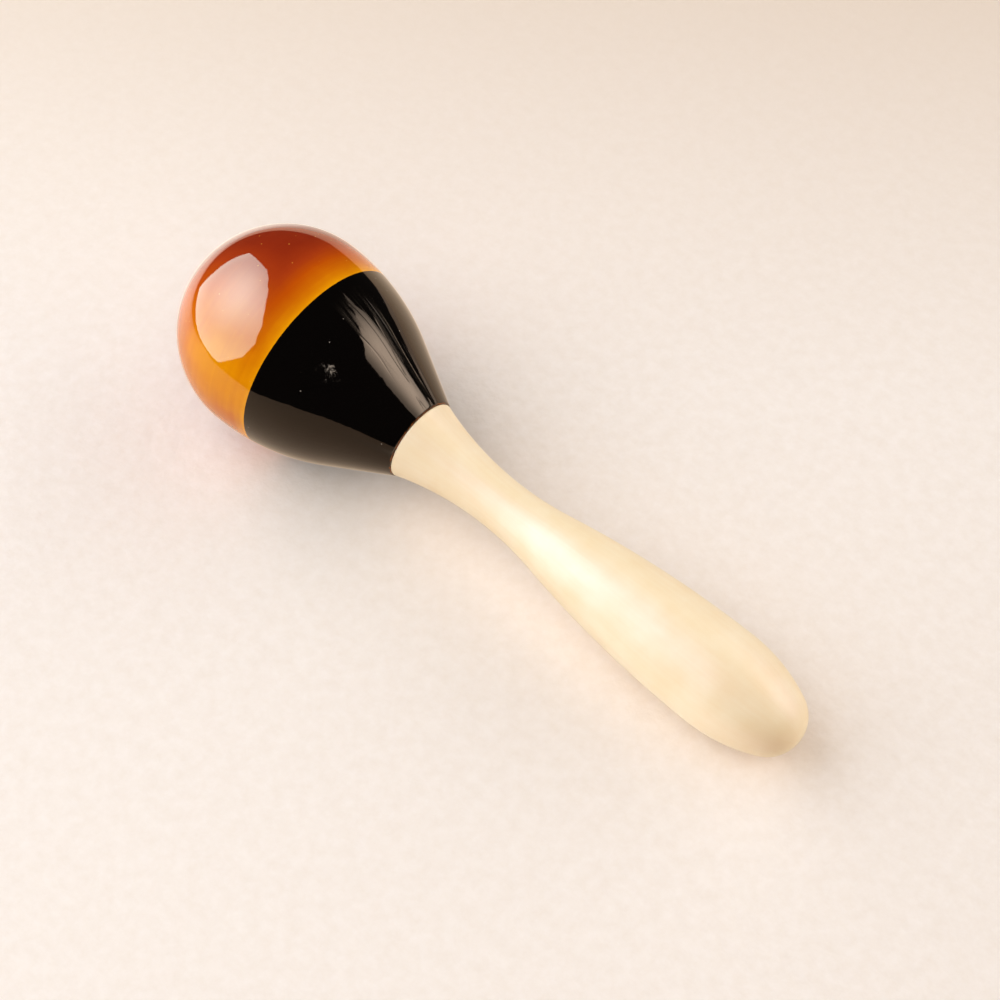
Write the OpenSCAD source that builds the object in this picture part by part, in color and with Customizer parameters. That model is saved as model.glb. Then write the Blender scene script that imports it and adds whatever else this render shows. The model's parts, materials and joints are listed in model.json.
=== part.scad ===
// Turned wooden egg rattle, lying on its side: a hollow head in two halves, a waisted handle and loose seeds.
// Sizes in millimetres. The head points to -X and the handle to +X, and the floor is at z = 0.

/* [Head] */
// Diameter of the head at its widest place, which ends the half-round dome
head_d = 43.3; // [38:0.1:46]
// Length of the head, from the top of the dome to the neck rim
head_l = 57.5; // [54:0.5:66]
// Diameter of the neck rim
neck_d = 17.4; // [14:0.1:20]
// Slope of the straight taper above the neck, in degrees from the axis
taper_angle = 28.5; // [26:0.5:32]
// Distance of the joint between the two halves from the top of the dome
seam_at = 30.5; // [28:0.5:35]
// Rounding of the neck rim
rim_round = 0.5; // [0.2:0.1:1]

/* [Chamber] */
// Thickness of the dome's wall
wall = 4; // [3:0.25:5]
// Straight run between the chamber's two half-round ends
chamber_run = 4; // [2:0.5:6]

/* [Glued joints] */
// Length of the spigot that carries the dome on the lower half
spigot_l = 4; // [2.5:0.25:5]
// Diameter of the handle's tenon
tenon_d = 9; // [6:0.5:10]
// Length of the handle's tenon
tenon_l = 10; // [7:0.5:12]
// Chamfer on the end of the tenon
tenon_chamfer = 0.6; // [0.3:0.1:1]
// Room for glue round a spigot or tenon
glue_gap = 0.1; // [0.05:0.05:0.2]
// Room past the end of a spigot or tenon
end_gap = 0.4; // [0.2:0.1:0.8]

/* [Handle] */
// Height by which the neck rim stands proud of the handle
rim_step = 0.15; // [0:0.05:0.5]
// Rounding of the handle's shoulder
shoulder_round = 0.3; // [0.2:0.05:1.2]
// Diameter of the waist
waist_d = 10.4; // [9:0.2:12]
// Distance of the waist from the neck rim
waist_at = 21; // [17:0.5:25]
// Diameter of the swell that fills the hand
swell_d = 20; // [17:0.5:23]
// Distance of the swell from the waist
swell_at = 53; // [46:0.5:60]
// Distance of the butt's end from the swell
butt_l = 18.5; // [14:0.5:24]
// Radius of the butt's round end
butt_r = 7.5; // [5:0.25:8]

/* [Seeds] */
// Diameter of a seed
seed_d = 5; // [4:0.25:6]
// Diameter of the ball that the scar on a seed is scooped with
scar_d = 1.6; // [1:0.2:2]
// Depth of the scar
scar_depth = 0.3; // [0.1:0.05:0.4]
// Seeds in a row along the axis
seed_columns = 4; // [2:1:5]
// Rows of seeds side by side
seed_rows = 3; // [1:1:3]
// Room between the lanes of neighbouring seeds
lane_gap = 0.6; // [0.4:0.1:1]
// Room between a seed and the chamber's wall
seed_gap = 0.3; // [0.2:0.05:0.5]

/* [Hidden] */
// Longest straight step along an arc
arc_step = 1.5;
$fn = 96;

// Stations along the axis, from the top of the dome
head_r = head_d / 2;
neck_r = neck_d / 2;
waist_s = head_l + waist_at;
swell_s = waist_s + swell_at;
rattle_l = swell_s + butt_l;

// Arc of the head's side, which leaves the dome at the widest place and runs into the taper
side_r = ((head_l - head_r) * sin(taper_angle) - (head_r - neck_r) * cos(taper_angle)) / (1 - cos(taper_angle));
side_c = [head_r - side_r, head_r];
taper_s = head_r + side_r * sin(taper_angle);

// Arcs of the handle: waist, swell and tip, each tangent to the next
waist_r = waist_d / 2;
swell_r = swell_d / 2;
waist_sag = neck_r - rim_step - waist_r;
waist_arc_r = (waist_at ^ 2 + waist_sag ^ 2) / (2 * waist_sag);
waist_c = [waist_r + waist_arc_r, waist_s];
swell_rise = swell_r - waist_r;
swell_arc_r = (swell_at ^ 2 + swell_rise ^ 2) / (2 * swell_rise) - waist_arc_r;
swell_c = [swell_r - swell_arc_r, swell_s];
butt_c = [0, rattle_l - butt_r];
tip_arc_r = ((butt_l - butt_r) ^ 2 + swell_r ^ 2 - butt_r ^ 2) / (2 * (swell_r - butt_r));
tip_c = [swell_r - tip_arc_r, swell_s];
shoulder_s = head_l + shoulder_round;
shoulder_c = [
    waist_c.x - sqrt((waist_arc_r + shoulder_round) ^ 2 - (shoulder_s - waist_s) ^ 2),
    shoulder_s
];

// Chamber: two half-round ends with a straight run between them
chamber_r = head_r - wall;
bowl_s = head_r + chamber_run;
chamber_end = bowl_s + chamber_r;

// Glued joints
spigot_top = seam_at - spigot_l;
rebate_top = spigot_top - end_gap;
spigot_r = (head_radius(seam_at) + chamber_radius(seam_at)) / 2;
tenon_r = tenon_d / 2;
tenon_end = head_l - tenon_l;

// Lying down: the floor touches the head's side arc and the tip arc of the handle
contact_gap = tip_c - side_c;
tilt = asin((side_r - tip_arc_r) / norm(contact_gap)) - atan2(contact_gap.x, contact_gap.y);
dome_height = side_c.y * sin(tilt) + side_c.x * cos(tilt) + side_r;
dome_x = (head_r * (1 - cos(tilt)) - butt_c.y * cos(tilt) - butt_r) / 2;

// Lanes of the seeds, round the lowest place of the chamber
lane_pitch = seed_d + lane_gap;
lane_r = chamber_r - seed_d / 2 - seed_gap;
heap_s = bowl_s + chamber_r * sin(tilt);
seed_count = seed_columns * seed_rows;
seed_turn = [67, 41, 0];

// Radius of the head at a station on its dome, side arc or taper
function head_radius(s) =
    s < head_r ? sqrt(head_r ^ 2 - (head_r - s) ^ 2) :
    s < taper_s ? side_c.x + sqrt(side_r ^ 2 - (s - head_r) ^ 2) :
    neck_r + (head_l - s) * tan(taper_angle);

// Radius of the chamber at a station
function chamber_radius(s) = sqrt(chamber_r ^ 2 - max(0, head_r - s, s - bowl_s) ^ 2);

// Points along an arc, as [radius, station]
function arc(centre, r, from, to) =
    let (steps = max(4, ceil(abs(to - from) * PI / 180 * r / arc_step)))
    [for (i = [0 : steps]) let (a = from + (to - from) * i / steps) centre + r * [cos(a), sin(a)]];

function angle_to(from, to) = atan2(to.y - from.y, to.x - from.x);
function backwards(points) = [for (i = [len(points) - 1 : -1 : 0]) points[i]];
function before(points, s) = [for (p = points) if (p.y < s - arc_step / 4) p];
function after(points, s) = [for (p = points) if (p.y > s + arc_step / 4) p];

// Outline of the head from the top of the dome to the neck, with the rim rounded into the end face
rim_c = [neck_r - rim_round * (1 - sin(taper_angle)) / cos(taper_angle), head_l - rim_round];
head_outline = concat(
    arc([0, head_r], head_r, -90, 0),
    after(arc(side_c, side_r, 0, taper_angle), head_r),
    arc(rim_c, rim_round, taper_angle, 90)
);

// Outline of the chamber from the dome's end to the bottom of the bowl
chamber_outline = concat(arc([0, head_r], chamber_r, -90, 0), arc([0, bowl_s], chamber_r, 0, 90));

// Outline of the handle from its shoulder to the butt
shoulder_angle = angle_to(shoulder_c, waist_c);
swell_angle = angle_to(swell_c, waist_c);
tip_angle = angle_to(tip_c, butt_c);
handle_outline = concat(
    arc(shoulder_c, shoulder_round, -90, shoulder_angle),
    after(arc(waist_c, waist_arc_r, 180 + shoulder_angle, 180 + swell_angle), shoulder_s),
    after(arc(swell_c, swell_arc_r, swell_angle, 0), waist_c.y + waist_arc_r * sin(-swell_angle)),
    after(arc(tip_c, tip_arc_r, 0, tip_angle), swell_s),
    after(arc(butt_c, butt_r, tip_angle, 90), butt_c.y + butt_r * sin(tip_angle))
);

function seed_name(i) = str("seed_", i < 9 ? "0" : "", i + 1);

// Lays a piece that was turned about +Z on the floor, with +X turned downwards
module lay_down() {
    translate([dome_x, 0, dome_height])
        rotate([0, 90 + tilt, 0])
            children();
}

// Upper half of the head, bored to a half-round chamber and rebated to sit on the spigot
module dome_cap() {
    color("chocolate")
        lay_down()
            rotate_extrude()
                polygon(concat(
                    before(head_outline, seam_at),
                    [
                        [head_radius(seam_at), seam_at],
                        [spigot_r + glue_gap, seam_at],
                        [spigot_r + glue_gap, rebate_top],
                        [chamber_radius(rebate_top), rebate_top]
                    ],
                    backwards(before(chamber_outline, rebate_top))
                ));
}

// Lower half of the head, with a bowl, a spigot round its mouth and a socket in the neck
module neck_cup() {
    color("black")
        lay_down()
            rotate_extrude()
                polygon(concat(
                    [[head_radius(seam_at), seam_at]],
                    after(head_outline, seam_at),
                    [
                        [tenon_r + glue_gap, head_l],
                        [tenon_r + glue_gap, tenon_end - end_gap],
                        [0, tenon_end - end_gap]
                    ],
                    backwards(after(chamber_outline, spigot_top)),
                    [
                        [chamber_radius(spigot_top), spigot_top],
                        [spigot_r, spigot_top],
                        [spigot_r, seam_at]
                    ]
                ));
}

// Handle with a tenon, a waist for the fingers and a swell for the palm
module handle() {
    color("moccasin")
        lay_down()
            rotate_extrude()
                polygon(concat(
                    [
                        [0, tenon_end],
                        [tenon_r - tenon_chamfer, tenon_end],
                        [tenon_r, tenon_end + tenon_chamfer],
                        [tenon_r, head_l]
                    ],
                    handle_outline
                ));
}

// Loose seed with the scar where it grew, at rest on the chamber's wall in its own lane
module seed(i) {
    column = i % seed_columns;
    row = floor(i / seed_columns);
    station = heap_s + (column - (seed_columns - 1) / 2) * lane_pitch;
    across = (row - (seed_rows - 1) / 2) * lane_pitch;
    reach = sqrt(lane_r ^ 2 - max(0, head_r - station, station - bowl_s) ^ 2 - across ^ 2);
    color("saddlebrown")
        lay_down()
            translate([reach, across, station])
                rotate(i * seed_turn)
                    difference() {
                        sphere(d = seed_d);
                        translate([0, 0, (seed_d + scar_d) / 2 - scar_depth])
                            sphere(d = scar_d);
                    }
}

dome_cap();
neck_cup();
handle();
for (i = [0 : seed_count - 1])
    seed(i);
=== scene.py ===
"""Turned wooden egg rattle lying on its side: lac on the head and the handle, loose seeds in the head."""

import json
import math

import bpy
from mathutils import Euler, Matrix, Vector


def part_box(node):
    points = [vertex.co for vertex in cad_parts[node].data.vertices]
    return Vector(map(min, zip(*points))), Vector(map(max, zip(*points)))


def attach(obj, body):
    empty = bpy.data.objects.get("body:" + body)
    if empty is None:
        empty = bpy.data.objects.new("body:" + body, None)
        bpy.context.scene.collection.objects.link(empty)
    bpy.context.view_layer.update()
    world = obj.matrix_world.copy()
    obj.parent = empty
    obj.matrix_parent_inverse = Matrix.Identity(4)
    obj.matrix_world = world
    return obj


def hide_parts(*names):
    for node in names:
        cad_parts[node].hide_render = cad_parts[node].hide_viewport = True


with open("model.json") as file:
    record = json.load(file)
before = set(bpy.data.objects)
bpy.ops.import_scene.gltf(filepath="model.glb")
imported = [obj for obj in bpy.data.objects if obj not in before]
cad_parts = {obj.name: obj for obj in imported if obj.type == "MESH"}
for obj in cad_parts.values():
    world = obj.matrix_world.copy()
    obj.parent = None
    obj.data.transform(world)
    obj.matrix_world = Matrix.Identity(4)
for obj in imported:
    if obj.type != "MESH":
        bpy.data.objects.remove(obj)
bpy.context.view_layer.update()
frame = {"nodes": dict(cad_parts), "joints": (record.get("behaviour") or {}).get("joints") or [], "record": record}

MM = 0.001

# Head, in mm: radii, and stations along the axis from the top of the dome
HEAD_R = 21.65
HEAD_L = 57.5
NECK_R = 8.7
TAPER = math.radians(28.5)
SEAM_AT = 30.5
RIM_ROUND = 0.5
CHAMBER_R = 17.65
BOWL_AT = 25.65
SPIGOT_L = 4.0
TENON_R = 4.5
TENON_L = 10.0
TENON_CHAMFER = 0.6
GLUE_GAP = 0.1
END_GAP = 0.4

# Handle, in mm
RIM_STEP = 0.15
SHOULDER_ROUND = 0.3
WAIST_R = 5.2
WAIST_AT = 78.5
SWELL_R = 10.0
SWELL_AT = 131.5
BUTT_R = 7.5
RATTLE_L = 150.0

# Seeds, in mm: size, scar, and half the depth of the grooves between the ribs
SEED_R = 2.5
SCAR_R = 0.8
SCAR_DEPTH = 0.3
RIB_HALF = 0.03
RIBS = 9
# Angle from a seed's tip at which the scar has run out, in radians
SCAR_END = 1.0
# Turn of each seed against the one before, in degrees
SEED_TURN = (67, 41, 0)

# Fineness of the meshes: longest steps along an outline in mm, steps round the axis, and steps on a seed
FINE_STEP = 0.45
INNER_STEP = 1.5
RIM_FINE_STEP = RIM_ROUND / 8
SHOULDER_FINE_STEP = SHOULDER_ROUND / 10
LEAST_STEPS = 4
TURNS = 240
SEED_ROWS = 28
SEED_COLUMNS = 40
# Points of an outline that are nearer than this to each other or to the axis are one, in mm
SAME_POINT = 1e-4
# Angle past which an edge stays sharp
CREASE = math.radians(30)

# Radius of the drum that marks on the lac are laid out on, in mm
DRUM_R = 15

# Axis of the rattle, from the frame: the seeds travel square to it, and the grip mark is at the waist
up = Vector(frame["joints"][0]["axis"]).normalized()
across = Vector((0, 1, 0))
axis = across.cross(up)
grip = Vector(frame["record"]["mounts"][0]["pos_m"])
dome_top = grip - axis * WAIST_AT * MM
lathe = Matrix.Translation(dome_top) @ Matrix((-up, across, axis)).transposed().to_4x4()


def arc(centre, radius, start, end, step=FINE_STEP):
    """Points along an arc, as (radius, station), between two angles in radians."""
    count = max(LEAST_STEPS, math.ceil(abs(end - start) * radius / step))
    turns = [start + (end - start) * i / count for i in range(count + 1)]
    return [(centre[0] + radius * math.cos(a), centre[1] + radius * math.sin(a)) for a in turns]


def joined(*runs):
    """One outline from runs of points, without the points that two runs share."""
    outline = []
    for point in (p for run in runs for p in run):
        if not outline or math.dist(point, outline[-1]) > SAME_POINT:
            outline.append(point)
    return outline


def bearing(start, end):
    """Angle from one point of an outline to another."""
    return math.atan2(end[1] - start[1], end[0] - start[0])


# Outline of the head: a half-round dome, an arc that leaves it at the widest place, and a straight taper
side_r = ((HEAD_L - HEAD_R) * math.sin(TAPER) - (HEAD_R - NECK_R) * math.cos(TAPER)) / (1 - math.cos(TAPER))
side_c = (HEAD_R - side_r, HEAD_R)
seam_r = side_c[0] + math.sqrt(side_r**2 - (SEAM_AT - HEAD_R) ** 2)
seam_angle = math.asin((SEAM_AT - HEAD_R) / side_r)
rim_c = (NECK_R - RIM_ROUND * (1 - math.sin(TAPER)) / math.cos(TAPER), HEAD_L - RIM_ROUND)
taper_top = arc(side_c, side_r, 0, TAPER)[-1]
rim_top = arc(rim_c, RIM_ROUND, TAPER, math.pi / 2)[0]
taper_steps = math.ceil(math.dist(taper_top, rim_top) / FINE_STEP)
taper = [
    tuple(a + (b - a) * i / taper_steps for a, b in zip(taper_top, rim_top)) for i in range(taper_steps + 1)
]

# Inside of the head: a spigot between the chamber and the outside, and a socket for the handle's tenon
spigot_top = SEAM_AT - SPIGOT_L
rebate_top = spigot_top - END_GAP
spigot_r = (seam_r + math.sqrt(CHAMBER_R**2 - (SEAM_AT - BOWL_AT) ** 2)) / 2
socket_r = TENON_R + GLUE_GAP
tenon_top = HEAD_L - TENON_L


def chamber_angle(station):
    """Angle of a station on the bowl's arc."""
    return math.asin((station - BOWL_AT) / CHAMBER_R)


def dome_outline():
    """Upper half of the head, rebated to sit on the spigot."""
    dome_c = (0, HEAD_R)
    bowl_c = (0, BOWL_AT)
    return joined(
        arc(dome_c, HEAD_R, -math.pi / 2, 0),
        arc(side_c, side_r, 0, seam_angle),
        [(spigot_r + GLUE_GAP, SEAM_AT), (spigot_r + GLUE_GAP, rebate_top)],
        arc(bowl_c, CHAMBER_R, chamber_angle(rebate_top), 0, INNER_STEP),
        arc(dome_c, CHAMBER_R, 0, -math.pi / 2, INNER_STEP),
    )


def cup_outline():
    """Lower half of the head, with its bowl, its spigot and the socket in the neck."""
    return joined(
        arc(side_c, side_r, seam_angle, TAPER),
        taper,
        arc(rim_c, RIM_ROUND, TAPER, math.pi / 2, RIM_FINE_STEP),
        [(socket_r, HEAD_L), (socket_r, tenon_top - END_GAP), (0, tenon_top - END_GAP)],
        arc((0, BOWL_AT), CHAMBER_R, math.pi / 2, chamber_angle(spigot_top), INNER_STEP),
        [(spigot_r, spigot_top), (spigot_r, SEAM_AT), (seam_r, SEAM_AT)],
    )


def handle_outline():
    """Handle with its tenon, shoulder, waist, swell and butt, each arc tangent to the next."""
    waist_sag = NECK_R - RIM_STEP - WAIST_R
    waist_run = WAIST_AT - HEAD_L
    waist_arc = (waist_run**2 + waist_sag**2) / (2 * waist_sag)
    waist_c = (WAIST_R + waist_arc, WAIST_AT)
    swell_run = SWELL_AT - WAIST_AT
    swell_rise = SWELL_R - WAIST_R
    swell_arc = (swell_run**2 + swell_rise**2) / (2 * swell_rise) - waist_arc
    swell_c = (SWELL_R - swell_arc, SWELL_AT)
    butt_c = (0, RATTLE_L - BUTT_R)
    tip_arc = ((butt_c[1] - SWELL_AT) ** 2 + SWELL_R**2 - BUTT_R**2) / (2 * (SWELL_R - BUTT_R))
    tip_c = (SWELL_R - tip_arc, SWELL_AT)
    shoulder_at = HEAD_L + SHOULDER_ROUND
    shoulder_reach = math.sqrt((waist_arc + SHOULDER_ROUND) ** 2 - (shoulder_at - WAIST_AT) ** 2)
    shoulder_c = (waist_c[0] - shoulder_reach, shoulder_at)
    shoulder_angle = bearing(shoulder_c, waist_c)
    swell_angle = bearing(swell_c, waist_c)
    tip_angle = bearing(tip_c, butt_c)
    return joined(
        [
            (0, tenon_top),
            (TENON_R - TENON_CHAMFER, tenon_top),
            (TENON_R, tenon_top + TENON_CHAMFER),
            (TENON_R, HEAD_L),
        ],
        arc(shoulder_c, SHOULDER_ROUND, -math.pi / 2, shoulder_angle, SHOULDER_FINE_STEP),
        arc(waist_c, waist_arc, math.pi + shoulder_angle, math.pi + swell_angle),
        arc(swell_c, swell_arc, swell_angle, 0),
        arc(tip_c, tip_arc, 0, tip_angle),
        arc(butt_c, BUTT_R, tip_angle, math.pi / 2),
    )


def placed(name, points, faces, matrix=Matrix()):
    """Smooth mesh object with creases where the surface turns sharply."""
    mesh = bpy.data.meshes.new(name)
    mesh.from_pydata(points, [], faces)
    mesh.shade_smooth()
    mesh.set_sharp_from_angle(angle=CREASE)
    piece = bpy.data.objects.new(name, mesh)
    piece.matrix_world = matrix
    bpy.context.scene.collection.objects.link(piece)
    return piece


def turned(name, outline):
    """Solid that the lathe would make of an outline, which is closed on itself or at its ends on the axis."""
    closed = outline[0][0] > SAME_POINT
    points, rings = [], []
    for radius, station in outline:
        count = TURNS if radius > SAME_POINT else 1
        rings.append(range(len(points), len(points) + count))
        for i in range(count):
            a = 2 * math.pi * i / TURNS
            points.append(lathe @ (Vector((radius * math.cos(a), radius * math.sin(a), station)) * MM))
    faces = []
    for here, there in zip(rings, rings[1:] + (rings[:1] if closed else [])):
        if len(here) == len(there) == 1:
            continue
        for i in range(TURNS):
            j = (i + 1) % TURNS
            corners = [here[i % len(here)], there[i % len(there)], there[j % len(there)], here[j % len(here)]]
            faces.append(list(dict.fromkeys(reversed(corners))))
    return placed(name, points, faces)


def seed_mesh(name, index):
    """Ribbed seed at rest in its lane, with a scar where it grew."""
    low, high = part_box(name)
    turn = Euler([math.radians(angle * index) for angle in SEED_TURN]).to_matrix().to_4x4()
    spot = Matrix.Translation((low + high) / 2) @ lathe.to_3x3().to_4x4() @ turn
    points = [Vector((0, 0, SEED_R - SCAR_DEPTH)) * MM]
    for row in range(1, SEED_ROWS):
        tip = math.pi * row / SEED_ROWS
        scar = SCAR_DEPTH * math.exp(-((SEED_R * math.sin(tip) / SCAR_R) ** 2)) if tip < SCAR_END else 0
        for column in range(SEED_COLUMNS):
            a = 2 * math.pi * column / SEED_COLUMNS
            rib = RIB_HALF * (1 - math.cos(RIBS * a)) * math.sin(tip) ** 2
            radius = SEED_R - rib - scar
            direction = Vector((math.sin(tip) * math.cos(a), math.sin(tip) * math.sin(a), math.cos(tip)))
            points.append(direction * radius * MM)
    points.append(Vector((0, 0, -SEED_R)) * MM)
    last_row = 1 + (SEED_ROWS - 2) * SEED_COLUMNS
    faces = []
    for column in range(SEED_COLUMNS):
        beside = (column + 1) % SEED_COLUMNS
        faces.append((0, 1 + column, 1 + beside))
        for row in range(SEED_ROWS - 2):
            here = 1 + row * SEED_COLUMNS
            there = here + SEED_COLUMNS
            faces.append((here + column, there + column, there + beside, here + beside))
        faces.append((last_row + column, len(points) - 1, last_row + beside))
    return placed(name + "_shell", points, faces, spot)


def linear(code, alpha=1.0):
    """Linear colour from an sRGB hex value."""
    parts = [int(code[i:i + 2], 16) / 255 for i in (1, 3, 5)]
    return (*(c / 12.92 if c <= 0.04045 else ((c + 0.055) / 1.055) ** 2.4 for c in parts), alpha)


def fill(tree, node, inputs):
    """Fills each input of a node with a value or a link."""
    for socket, value in inputs.items():
        if isinstance(value, bpy.types.NodeSocket):
            tree.links.new(value, node.inputs[socket])
        else:
            node.inputs[socket].default_value = value


def add(tree, kind, inputs=None, stops=None, **settings):
    """Adds a node, sets its options and the stops of its ramp, and fills its inputs."""
    made = tree.nodes.new("ShaderNode" + kind)
    for name, value in settings.items():
        setattr(made, name, value)
    if stops:
        ramp = made.color_ramp.elements
        for end in (0, -1):
            ramp[end].position = stops[end][0]
            ramp[end].color = linear(stops[end][1])
        for place, code in stops[1:-1]:
            ramp.new(place).color = linear(code)
    fill(tree, made, inputs or {})
    return made


# Soft start and end of a Map Range, whose inputs 0 to 4 are the value, its two ends and what they become
EASED = {"interpolation_type": "SMOOTHSTEP"}


def material(name):
    """New material, with its node tree and its shader."""
    made = bpy.data.materials.new(name)
    made.use_nodes = True
    tree = made.node_tree
    return made, tree, tree.nodes["Principled BSDF"]


def beside_axis(turn, radius=1.0, station=0.0):
    """Place beside the rattle's axis, at a turn in degrees: 0 is down, 90 is +Y and 180 is up."""
    a = math.radians(turn)
    return Vector((radius * math.cos(a), radius * math.sin(a), station))


def on_lathe(tree):
    """Place on a turned piece, with Z along the axis from the top of the dome and -X upwards."""
    place = add(tree, "TexCoord").outputs["Object"]
    settings = {"Vector": place, "Location": dome_top, "Rotation": lathe.to_euler()}
    return add(tree, "Mapping", settings, vector_type="TEXTURE").outputs[0]


def round_way(tree, place):
    """Unit direction from the axis to a place."""
    level = add(tree, "VectorMath", {0: place, 1: (1, 1, 0)}, operation="MULTIPLY")
    return add(tree, "VectorMath", {0: level.outputs[0]}, operation="NORMALIZE").outputs[0]


def drum(tree, place, along):
    """Place as on an even drum, with the way along the axis scaled, so that marks run lengthwise."""
    length = add(tree, "VectorMath", {0: place, 1: (0, 0, along)}, operation="MULTIPLY")
    sum_up = {0: round_way(tree, place), 1: (DRUM_R * MM,) * 3, 2: length.outputs[0]}
    return add(tree, "VectorMath", sum_up, operation="MULTIPLY_ADD").outputs[0]


def stripe(tree, place, turn, edge, full, start, reached):
    """Stripe along the head at a turn, which sets in between two stations in mm.

    Its edge and its full part are cosines of the angle from that turn.
    """
    side = {0: round_way(tree, place), 1: beside_axis(turn)}
    lean = add(tree, "VectorMath", side, operation="DOT_PRODUCT").outputs["Value"]
    width = add(tree, "MapRange", {0: lean, 1: edge, 2: full}, **EASED).outputs[0]
    station = add(tree, "SeparateXYZ", {"Vector": place}).outputs["Z"]
    begun = add(tree, "MapRange", {0: station, 1: start * MM, 2: reached * MM}, **EASED).outputs[0]
    return add(tree, "Math", {0: width, 1: begun}, operation="MULTIPLY").outputs[0]


def flecks(tree, place, pitch, size, share):
    """Small specks of about one size in mm, in a share of the cells of a loose grid of one pitch in mm."""
    outer = size / pitch
    core = 0.4 * size / pitch
    cell = add(tree, "TexVoronoi", {"Vector": place, "Scale": 1 / (pitch * MM)})
    near = add(tree, "MapRange", {0: cell.outputs["Distance"], 1: outer, 2: core}, **EASED).outputs[0]
    picked = add(tree, "Math", {0: cell.outputs["Color"], 1: 1 - share}, operation="GREATER_THAN").outputs[0]
    return add(tree, "Math", {0: near, 1: picked}, operation="MULTIPLY").outputs[0]


def amber_lac():
    """Amber lac melted on by friction on the lathe: a clear film, gold where thin and red where thick."""
    made, tree, shader = material("amber_lac_turned")
    place = on_lathe(tree)
    station = add(tree, "SeparateXYZ", {"Vector": place}).outputs["Z"]
    # the film thins towards the seam; the lower left side, where the key light falls, is painted more golden as
    # painted light
    thins_from = 19.5
    rim = add(tree, "MapRange", {0: station, 1: thins_from * MM, 2: SEAM_AT * MM}).outputs[0]
    lit_side_turn = -112
    lit_side_from = 6.5
    lit_side_gold = 0.94
    side = {0: place, 1: beside_axis(lit_side_turn)}
    towards = add(tree, "VectorMath", side, operation="DOT_PRODUCT").outputs["Value"]
    lit_side_reach = {0: towards, 1: lit_side_from * MM, 2: HEAD_R * MM, 4: lit_side_gold}
    # painted light: the lit side goes golden
    rubbed = add(tree, "MapRange", lit_side_reach).outputs[0]
    blend = 0.2
    # the film's thinning and the painted light of the lit side, taken together
    thin = add(tree, "Math", {0: rim, 1: rubbed, 2: blend}, operation="SMOOTH_MAX").outputs[0]
    # clouds from an uneven film, and faint rings from the lathe
    cloud = add(tree, "TexNoise", {"Vector": place, "Scale": 1 / (7 * MM), "Detail": 3}).outputs["Fac"]
    ring_scale = [1 / (size * MM) for size in (30, 30, 0.9)]
    ring_place = add(tree, "Mapping", {"Vector": place, "Scale": ring_scale}).outputs[0]
    ring = add(tree, "TexNoise", {"Vector": ring_place, "Scale": 1.0, "Detail": 2}).outputs["Fac"]
    ring_share = 0.35
    uneven = add(tree, "MixRGB", {0: ring_share, 1: cloud, 2: ring}).outputs[0]
    play = 0.14
    shift = add(tree, "MapRange", {0: uneven, 3: -play, 4: play}).outputs[0]
    film = add(tree, "Math", {0: thin, 1: shift}, operation="ADD").outputs[0]
    film_tones = ((0.0, "#8d290e"), (0.3, "#a73910"), (0.55, "#c04f03"), (0.8, "#d37002"), (1.0, "#ee9c02"))
    tone = add(tree, "ValToRGB", {"Fac": film}, stops=film_tones).outputs["Color"]
    # dust that was caught in the film
    dust = flecks(tree, place, pitch=1.6, size=0.16, share=0.4)
    dusty = add(tree, "MixRGB", {0: dust, 1: tone, 2: linear("#e39a3c")}).outputs[0]
    # slow ripples in the gloss, where the film didn't level out
    ripple = add(tree, "TexNoise", {"Vector": place, "Scale": 1 / (6 * MM), "Detail": 1}).outputs["Fac"]
    swell = add(tree, "Bump", {"Height": ripple, "Strength": 1.0, "Distance": 0.03 * MM}).outputs[0]
    fill(tree, shader, {
        "Base Color": dusty,
        "Roughness": 0.5,
        "Specular IOR Level": 0.0,
        "Coat Weight": 1.0,
        "Coat Roughness": 0.03,
        "Coat IOR": 1.5,
        "Coat Normal": swell,
    })
    return made


def cloth_marks(tree, place):
    """Marks of a cloth wiped along the black head: streaks, scored lines, and hairs where it slipped off."""
    start, reached = 32, 38
    wiped = stripe(tree, place, 167.5, edge=0.971, full=0.986, start=start, reached=reached)
    streak_way = {"Vector": drum(tree, place, 0.06), "Scale": 1 / (0.5 * MM), "Detail": 3}
    streak = add(tree, "TexNoise", streak_way).outputs["Fac"]
    dull_from, dull_full = 0.42, 0.66
    dull = add(tree, "MapRange", {0: streak, 1: dull_from, 2: dull_full}, **EASED).outputs[0]
    worn = add(tree, "Math", {0: wiped, 1: dull}, operation="MULTIPLY").outputs[0]
    # a line runs where the noise comes near its middle level
    fold_way = {"Vector": drum(tree, place, 0.12), "Scale": 1 / (2.4 * MM), "Detail": 1}
    fold = add(tree, "TexNoise", fold_way).outputs["Fac"]
    line_from, middle = 0.476, 0.5
    crest = add(tree, "Math", {0: fold, 1: middle}, operation="PINGPONG").outputs[0]
    line = add(tree, "MapRange", {0: crest, 1: line_from, 2: middle}, **EASED).outputs[0]
    scored = add(tree, "Math", {0: wiped, 1: line}, operation="MULTIPLY").outputs[0]
    # real hairs are finer, and these are as coarse as they need to be to show
    combed = stripe(tree, place, 154, edge=0.98, full=0.995, start=start, reached=reached)
    thread_way = {"Vector": drum(tree, place, 0.025), "Scale": 1 / (0.55 * MM), "Detail": 1}
    thread = add(tree, "TexNoise", thread_way).outputs["Fac"]
    thread_from, thread_full = 0.6, 0.7
    thin = add(tree, "MapRange", {0: thread, 1: thread_from, 2: thread_full}, **EASED).outputs[0]
    hair = add(tree, "Math", {0: combed, 1: thin}, operation="MULTIPLY").outputs[0]
    return worn, scored, hair


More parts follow.
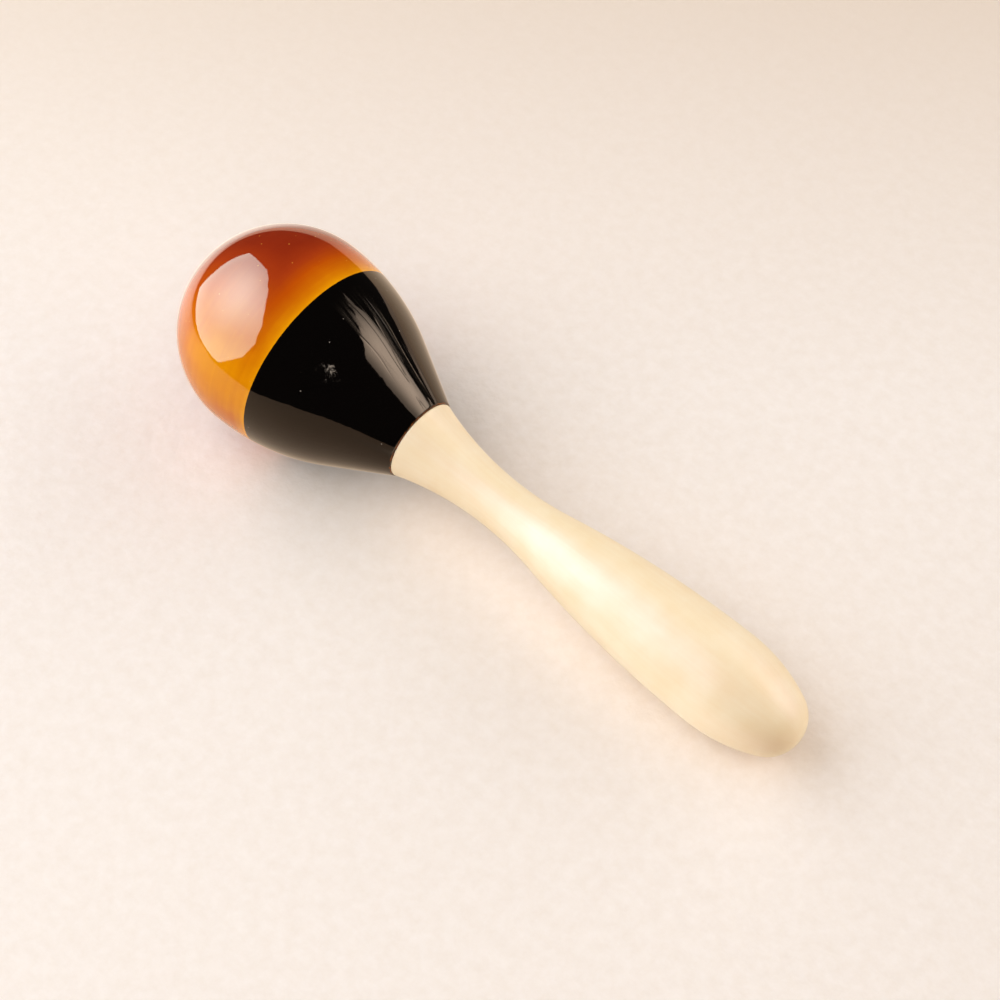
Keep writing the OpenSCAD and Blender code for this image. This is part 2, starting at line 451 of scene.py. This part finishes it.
def scuff_mark(tree, place):
    """Crumbled scuff on the side of the black head."""
    spot = beside_axis(-152, radius=17.4, station=41.2) * MM
    outer = 3.0 * MM
    core = 0.6 * MM
    away = add(tree, "VectorMath", {0: place, 1: spot}, operation="DISTANCE").outputs["Value"]
    near = add(tree, "MapRange", {0: away, 1: outer, 2: core}, **EASED).outputs[0]
    crumb_way = {"Vector": place, "Scale": 1 / (1.5 * MM), "Detail": 6, "Roughness": 0.7, "Distortion": 0.6}
    crumb = add(tree, "TexNoise", crumb_way).outputs["Fac"]
    crumb_from, crumb_full = 0.55, 0.7
    patch = add(tree, "MapRange", {0: crumb, 1: crumb_from, 2: crumb_full}, **EASED).outputs[0]
    return add(tree, "Math", {0: near, 1: patch}, operation="MULTIPLY").outputs[0]


def bare_rim(tree, place):
    """Ragged edge of the neck's rim where the lac is worn through, and the brown wood that shows there."""
    station = add(tree, "SeparateXYZ", {"Vector": place}).outputs["Z"]
    ragged = add(tree, "TexNoise", {"Vector": place, "Scale": 1 / (0.6 * MM), "Detail": 4}).outputs["Fac"]
    play = 0.25 * MM
    wavy = add(tree, "MapRange", {0: ragged, 3: -play, 4: play}).outputs[0]
    edge = add(tree, "Math", {0: station, 1: wavy}, operation="ADD").outputs[0]
    lac_end = (HEAD_L - 0.14) * MM
    wood_start = (HEAD_L - 0.04) * MM
    bare = add(tree, "MapRange", {0: edge, 1: lac_end, 2: wood_start}, **EASED).outputs[0]
    patchy = add(tree, "TexNoise", {"Vector": place, "Scale": 1 / (1.6 * MM), "Detail": 3}).outputs["Fac"]
    wood_tones = ((0.4, "#2a1108"), (0.65, "#93501f"))
    wood = add(tree, "ValToRGB", {"Fac": patchy}, stops=wood_tones).outputs["Color"]
    return bare, wood


def black_lac():
    """Black lac melted on the lathe and rubbed to a mirror: deep black, with sharp lights and a few marks."""
    made, tree, shader = material("black_lac_turned")
    place = on_lathe(tree)
    worn, scored, hair = cloth_marks(tree, place)
    dust = flecks(tree, place, pitch=1.7, size=0.17, share=0.2)
    pale = add(tree, "Math", {0: dust, 1: scuff_mark(tree, place)}, operation="MAXIMUM").outputs[0]
    haze = add(tree, "MixRGB", {0: worn, 1: linear("#040303"), 2: linear("#191613")}).outputs[0]
    hairy = add(tree, "MixRGB", {0: hair, 1: haze, 2: linear("#4a4540")}).outputs[0]
    grey = add(tree, "MixRGB", {0: pale, 1: hairy, 2: linear("#8f877e")}).outputs[0]
    bare, wood = bare_rim(tree, place)
    tone = add(tree, "MixRGB", {0: bare, 1: grey, 2: wood}).outputs[0]
    # slow ripples in the gloss, with the scored lines cut into them
    ripple = add(tree, "TexNoise", {"Vector": place, "Scale": 1 / (4 * MM), "Detail": 2}).outputs["Fac"]
    swell = add(tree, "Bump", {"Height": ripple, "Strength": 1.0, "Distance": 0.02 * MM}).outputs[0]
    groove = {"Height": scored, "Strength": 1.0, "Distance": 0.02 * MM, "Normal": swell}
    score = add(tree, "Bump", groove, invert=True).outputs[0]
    # wear and dust blur the gloss
    soiled = add(tree, "Math", {0: worn, 1: pale}, operation="MAXIMUM").outputs[0]
    mirror_rough = 0.04
    soiled_rough = 0.22
    rough = add(tree, "MapRange", {0: soiled, 3: mirror_rough, 4: soiled_rough}).outputs[0]
    fill(tree, shader, {
        "Base Color": tone,
        "Roughness": rough,
        "IOR": 1.5,
        "Specular Tint": linear("#ffe6cf"),
        "Normal": score,
    })
    return made


def ivory_lac():
    """Ivory lac on pale close-grained wood, rubbed to a satin: warm white, soft lights and faint clouds."""
    made, tree, shader = material("ivory_lac_turned")
    place = on_lathe(tree)
    cloud = add(tree, "TexNoise", {"Vector": place, "Scale": 1 / (6 * MM), "Detail": 3}).outputs["Fac"]
    grain_way = {"Vector": drum(tree, place, 0.1), "Scale": 1 / (1.4 * MM), "Detail": 3}
    grain = add(tree, "TexNoise", grain_way).outputs["Fac"]
    grain_share = 0.3
    uneven = add(tree, "MixRGB", {0: grain_share, 1: cloud, 2: grain}).outputs[0]
    ivory_tones = ((0.32, "#fbe4b9"), (0.68, "#ffeecb"))
    tone = add(tree, "ValToRGB", {"Fac": uneven}, stops=ivory_tones).outputs["Color"]
    # painted shade: a long darker patch on one side of the end, where the butt turns away from the lights
    shade_spot = beside_axis(-117, radius=5.9, station=RATTLE_L - 2.8) * MM
    outer = 6 * MM
    core = 0.3 * MM
    full = 0.4
    off_shade_spot = add(tree, "VectorMath", {0: place, 1: shade_spot}, operation="SUBTRACT").outputs[0]
    squeeze = (1, 1, 0.5)
    squeezed = add(tree, "VectorMath", {0: off_shade_spot, 1: squeeze}, operation="MULTIPLY").outputs[0]
    apart = add(tree, "VectorMath", {0: squeezed}, operation="LENGTH").outputs["Value"]
    painted_end_shade = add(tree, "MapRange", {0: apart, 1: outer, 2: core, 4: full}, **EASED).outputs[0]
    # the painted shade darkens the ivory's tone in the patch
    shaded_tone = add(tree, "MixRGB", {0: painted_end_shade, 1: tone, 2: linear("#d3ae7c")}).outputs[0]
    # a few brown specks under the lac
    speck = flecks(tree, place, pitch=7, size=0.3, share=0.2)
    dotted = add(tree, "MixRGB", {0: speck, 1: shaded_tone, 2: linear("#b98a5c")}).outputs[0]
    smooth_rough = 0.38
    cloudy_rough = 0.46
    rough = add(tree, "MapRange", {0: cloud, 3: smooth_rough, 4: cloudy_rough}).outputs[0]
    # the coat is a thin polish over the satin, which shows most at the edges
    fill(tree, shader, {
        "Base Color": dotted,
        "Roughness": rough,
        "Specular IOR Level": 0.46,
        "Specular Tint": linear("#dc9cff"),
        "Coat Weight": 0.06,
        "Coat Roughness": 0.2,
        "Coat IOR": 1.5,
    })
    return made


def seed_coat():
    """Hard seed coat, dried in the air: brown with paler clouds, and a dull shine."""
    made, tree, shader = material("dry_seed_coat")
    place = add(tree, "TexCoord").outputs["Object"]
    cloud = add(tree, "TexNoise", {"Vector": place, "Scale": 1 / (1.2 * MM), "Detail": 4}).outputs["Fac"]
    tone = add(tree, "ValToRGB", {"Fac": cloud}, stops=((0.3, "#3a2414"), (0.7, "#6b4526"))).outputs["Color"]
    fill(tree, shader, {"Base Color": tone, "Roughness": 0.4})
    return made


def dress(piece, body, node, finish):
    """Puts a piece in the place of its CAD node."""
    piece.data.materials.append(finish)
    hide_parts(node)
    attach(piece, body)


dress(turned("dome_shell", dome_outline()), "rattle", "dome_cap", amber_lac())
dress(turned("neck_shell", cup_outline()), "rattle", "neck_cup", black_lac())
dress(turned("handle_turning", handle_outline()), "rattle", "handle", ivory_lac())
seed_finish = seed_coat()
for index, name in enumerate(sorted(n for n in frame["nodes"] if n.startswith("seed_"))):
    dress(seed_mesh(name, index), name, name, seed_finish)


def heading(compass, elevation):
    """Direction from a compass angle, with 0 along +X and 90 along +Y, and an elevation, in degrees."""
    a, e = math.radians(compass), math.radians(elevation)
    return Vector((math.cos(a) * math.cos(e), math.sin(a) * math.cos(e), math.sin(e)))


# Camera at the photograph's viewing angle: angles in degrees, lens and sensor in mm
CAMERA_AZIMUTH = 41.27
CAMERA_ELEVATION = 54.38
CAMERA_AIM = Vector((-4.83, 9.04, 0)) * MM
CAMERA_DISTANCE = 407.2 * MM
CAMERA_LENS = 73.415
CAMERA_SENSOR = 36

# Studio: the head's middle, and where the soft lights stand as seen from there
HEAD_SPOT = Vector((-52, 0, 22)) * MM
BOX_HEADING = heading(-155, 31)
BOX_AWAY = 0.75
PANEL_HEADING = heading(40, 33)
PANEL_AWAY = 0.9
COVE_HEADING = heading(75, 0)
COVE_AWAY = 1.4
# Corners of the lit sheets as the head sees them, as compass and elevation in degrees
BOX_CORNERS = (
    (160, 25), (159, 58), (169, 69), (-165, 73), (-117, 65), (-103, 52),
    (-100, 35), (-103, 16), (-115, -5), (-175, -4), (180, 6)
)
PANEL_CORNERS = (
    (12, 48), (41, 50), (56, 50), (71, 46), (87, 43), (78, 41), (74, 36), (63, 30), (61, 24), (12, 24)
)
COVE_CORNERS = ((105, -4), (86, 5), (77, 5), (74, 8), (20, 8), (20, -2))

# Floor: half its width in m, and the colour of the room that it runs into
FLOOR_HALF = 4.0
ROOM_TONE = "#f4e8dd"
# Corners and height of the floor as the gloss mirrors it, in mm
BOARD_CORNERS = (
    (-235, -205), (-65, -180), (30, -350), (155, -385), (360, -720), (2000, -1500),
    (2000, 2000), (-1100, 2000), (-450, 400), (-340, 200), (-265, 5), (-220, -60)
)
BOARD_HEIGHT = -0.1
# Places where the mirrored floor glows brighter as painted light, as x, y, reach in mm and level
BRIGHT_SPOTS = ((-170, 20, 130, 1.45), (58, -55, 65, 2.6))


def take_camera():
    """Camera that sees the rattle from where the photograph was taken."""
    lens = bpy.data.cameras.new("camera")
    lens.lens = CAMERA_LENS
    lens.sensor_width = CAMERA_SENSOR
    camera = bpy.data.objects.new("camera", lens)
    back = heading(CAMERA_AZIMUTH - 90, CAMERA_ELEVATION)
    camera.location = CAMERA_AIM + back * CAMERA_DISTANCE
    camera.rotation_euler = (-back).to_track_quat("-Z", "Y").to_euler()
    bpy.context.scene.collection.objects.link(camera)
    bpy.context.scene.camera = camera


def flat(name, corners, finish):
    """Flat sheet of the studio, which isn't part of the rattle."""
    mesh = bpy.data.meshes.new(name)
    mesh.from_pydata(corners, [], [range(len(corners))])
    sheet = bpy.data.objects.new(name, mesh)
    sheet.data.materials.append(finish)
    bpy.context.scene.collection.objects.link(sheet)
    return sheet


def only_mirrored(sheet):
    """Leaves a sheet to be seen in reflections alone."""
    sheet.visible_camera = False
    sheet.visible_diffuse = False
    sheet.visible_transmission = False
    sheet.visible_shadow = False


def plaster():
    """Pale plaster skimmed flat: a warm white with a faintly uneven face."""
    made, tree, shader = material("plaster_skimmed")
    place = add(tree, "TexCoord").outputs["Object"]
    cloud_way = {"Vector": place, "Scale": 1 / (3 * MM), "Detail": 8, "Roughness": 0.7}
    cloud = add(tree, "TexNoise", cloud_way).outputs["Fac"]
    tone = add(tree, "ValToRGB", {"Fac": cloud}, stops=((0.3, "#f1e6dd"), (0.7, "#f7eee8"))).outputs["Color"]
    # painted shade: away from the lights the floor is painted a little darker and warmer
    falloff_from = 30 * MM
    falloff_full = 185 * MM
    beyond = add(tree, "VectorMath", {0: place, 1: CAMERA_AIM}, operation="SUBTRACT").outputs[0]
    unlit_way = heading(CAMERA_AZIMUTH + 86, 0)
    far = add(tree, "VectorMath", {0: beyond, 1: unlit_way}, operation="DOT_PRODUCT").outputs["Value"]
    painted_floor_shade = add(tree, "MapRange", {0: far, 1: falloff_from, 2: falloff_full}).outputs[0]
    shaded = add(tree, "MixRGB", {0: painted_floor_shade, 1: tone, 2: linear("#e2d0bf")}).outputs[0]
    skim = add(tree, "TexNoise", {"Vector": place, "Scale": 1 / (4 * MM), "Detail": 6}).outputs["Fac"]
    uneven = add(tree, "Bump", {"Height": skim, "Strength": 1.0, "Distance": 0.3 * MM}).outputs[0]
    fill(tree, shader, {"Base Color": shaded, "Roughness": 0.8, "Specular IOR Level": 0.1, "Normal": uneven})
    # past the reach of the lights the camera sees the floor run on into the room, as pale as the room
    fades_from = 200 * MM
    gone_at = 360 * MM
    seen = add(tree, "LightPath").outputs["Is Camera Ray"]
    off = add(tree, "VectorMath", {0: place, 1: CAMERA_AIM}, operation="DISTANCE").outputs["Value"]
    faded = add(tree, "MapRange", {0: off, 1: fades_from, 2: gone_at}, **EASED).outputs[0]
    gone = add(tree, "Math", {0: seen, 1: faded}, operation="MULTIPLY").outputs[0]
    room = add(tree, "Emission", {"Color": linear(ROOM_TONE)}).outputs[0]
    surface = add(tree, "MixShader", {0: gone, 1: shader.outputs[0], 2: room}).outputs[0]
    fill(tree, tree.nodes["Material Output"], {"Surface": surface})
    return made


def mirrored_plaster(plain):
    """Copy of the floor's plaster for the gloss to mirror, which gives light of its own."""
    made = plain.copy()
    made.name = "plaster_board"
    tree = made.node_tree
    place = add(tree, "TexCoord").outputs["Object"]
    # painted light: the copy glows brighter towards one side of the room, and round two bright spots, so the gloss
    # mirrors a brighter floor
    dim_end, dim_level = -60 * MM, 0.4
    lit_end, lit_level = 120 * MM, 0.85
    lit_way = heading(150, 0)
    along = add(tree, "VectorMath", {0: place, 1: lit_way}, operation="DOT_PRODUCT").outputs["Value"]
    rise = {0: along, 1: dim_end, 2: lit_end, 3: dim_level, 4: lit_level}
    light = add(tree, "MapRange", rise, **EASED).outputs[0]
    pale = 0.0
    for x, y, reach, peak in BRIGHT_SPOTS:
        outer = reach * MM
        core = 0.3 * reach * MM
        off = {0: place, 1: Vector((x, y, 0)) * MM}
        away = add(tree, "VectorMath", off, operation="DISTANCE").outputs["Value"]
        spot = add(tree, "MapRange", {0: away, 1: outer, 2: core, 4: peak}, **EASED).outputs[0]
        light = add(tree, "Math", {0: light, 1: spot}, operation="MAXIMUM").outputs[0]
        pale = add(tree, "Math", {0: pale, 1: spot}, operation="ADD", use_clamp=True).outputs[0]
    tone = add(tree, "MixRGB", {0: pale, 1: linear("#ffdab2"), 2: linear("#fff6e4")}).outputs[0]
    fill(tree, tree.nodes["Principled BSDF"], {"Emission Color": tone, "Emission Strength": light})
    return made


def lay_floor():
    """Floor under the rattle, and the copy of it that the gloss mirrors."""
    finish = plaster()
    f = FLOOR_HALF
    floor = flat("floor", [(-f, -f, 0), (f, -f, 0), (f, f, 0), (-f, f, 0)], finish)
    floor.visible_glossy = False
    floor.visible_shadow = False
    corners = [Vector((x, y, BOARD_HEIGHT)) * MM for x, y in BOARD_CORNERS]
    only_mirrored(flat("board", corners, mirrored_plaster(finish)))


def glow(name, code, strength, spot=None, reach=0.0, peak=0.0):
    """Lit cloth or paper, brighter round its hot spot where it has one."""
    made, tree, _ = material(name)
    tree.nodes.clear()
    level = strength
    if spot is not None:
        place = add(tree, "TexCoord").outputs["Object"]
        away = add(tree, "VectorMath", {0: place, 1: spot}, operation="DISTANCE").outputs["Value"]
        level = add(tree, "MapRange", {0: away, 2: reach, 3: peak, 4: strength}, **EASED).outputs[0]
    lit = add(tree, "Emission", {"Color": linear(code), "Strength": level}).outputs[0]
    add(tree, "OutputMaterial", {"Surface": lit})
    return made


def soft_card(name, direction, away, edges, finish):
    """Flat lit sheet square to a heading, cut to the edges in which the head's gloss shows it."""
    corners = []
    for compass, elevation in edges:
        way = heading(compass, elevation)
        corners.append(HEAD_SPOT + way * (away / way.dot(direction)))
    only_mirrored(flat(name, corners, finish))


def hang_cards():
    """Lit sheets that the gloss shows: a softbox on the camera's left, a panel and a cove on its right."""
    box_spot = HEAD_SPOT + heading(-146, 51) * BOX_AWAY
    box_cloth = glow("softbox_cloth", "#ddfff5", strength=5.8, spot=box_spot, reach=0.62, peak=12)
    soft_card("softbox", BOX_HEADING, BOX_AWAY, BOX_CORNERS, box_cloth)
    panel_spot = HEAD_SPOT + heading(48, 35) * PANEL_AWAY
    panel_cloth = glow("panel_cloth", "#fff8f0", strength=1.8, spot=panel_spot, reach=0.45, peak=8)
    soft_card("panel", PANEL_HEADING, PANEL_AWAY, PANEL_CORNERS, panel_cloth)
    cove_paper = glow("cove_paper", "#f7dcc2", strength=1.15)
    soft_card("cove", COVE_HEADING, COVE_AWAY, COVE_CORNERS, cove_paper)


def soft_lamp(name, direction, away, size, energy, code):
    """Lamp that faces the rattle and lights it, and is left out of reflections."""
    lamp = bpy.data.lights.new(name, "AREA")
    lamp.shape = "ELLIPSE"
    lamp.size, lamp.size_y = size
    lamp.energy = energy
    lamp.color = linear(code)[:3]
    holder = bpy.data.objects.new(name, lamp)
    holder.location = HEAD_SPOT + direction * away
    holder.rotation_euler = direction.to_track_quat("Z", "Y").to_euler()
    holder.visible_glossy = False
    bpy.context.scene.collection.objects.link(holder)


def set_lamps():
    """Key light in the softbox's place, two lamps over the camera's side, and two low ones on its right."""
    soft_lamp("key", heading(-155, 36), away=0.75, size=(1.3, 1.3), energy=9.5, code="#f5f9ff")
    soft_lamp("top", heading(-49, 62), away=1.3, size=(1.4, 1.4), energy=4.8, code="#ffead0")
    soft_lamp("front", heading(-66, 45), away=1.2, size=(1.4, 1.4), energy=3.1, code="#fffdfa")
    soft_lamp("fill", heading(52, 24), away=1.0, size=(2.2, 0.7), energy=7.0, code="#fffdfa")
    soft_lamp("low", heading(60, 13), away=1.1, size=(2.0, 0.4), energy=2.2, code="#fff6ea")


def paint_room():
    """World that the camera sees as a pale room, and that adds hardly any light."""
    world = bpy.data.worlds.new("room")
    world.use_nodes = True
    tree = world.node_tree
    tree.nodes.clear()
    seen = add(tree, "LightPath").outputs["Is Camera Ray"]
    dark = add(tree, "Background", {"Color": linear("#fff6ee"), "Strength": 0.03}).outputs[0]
    pale = add(tree, "Background", {"Color": linear(ROOM_TONE), "Strength": 1.0}).outputs[0]
    room = add(tree, "MixShader", {0: seen, 1: dark, 2: pale}).outputs[0]
    add(tree, "OutputWorld", {"Surface": room})
    bpy.context.scene.world = world


take_camera()
lay_floor()
hang_cards()
set_lamps()
paint_room()
bpy.context.scene.view_settings.view_transform = "Standard"
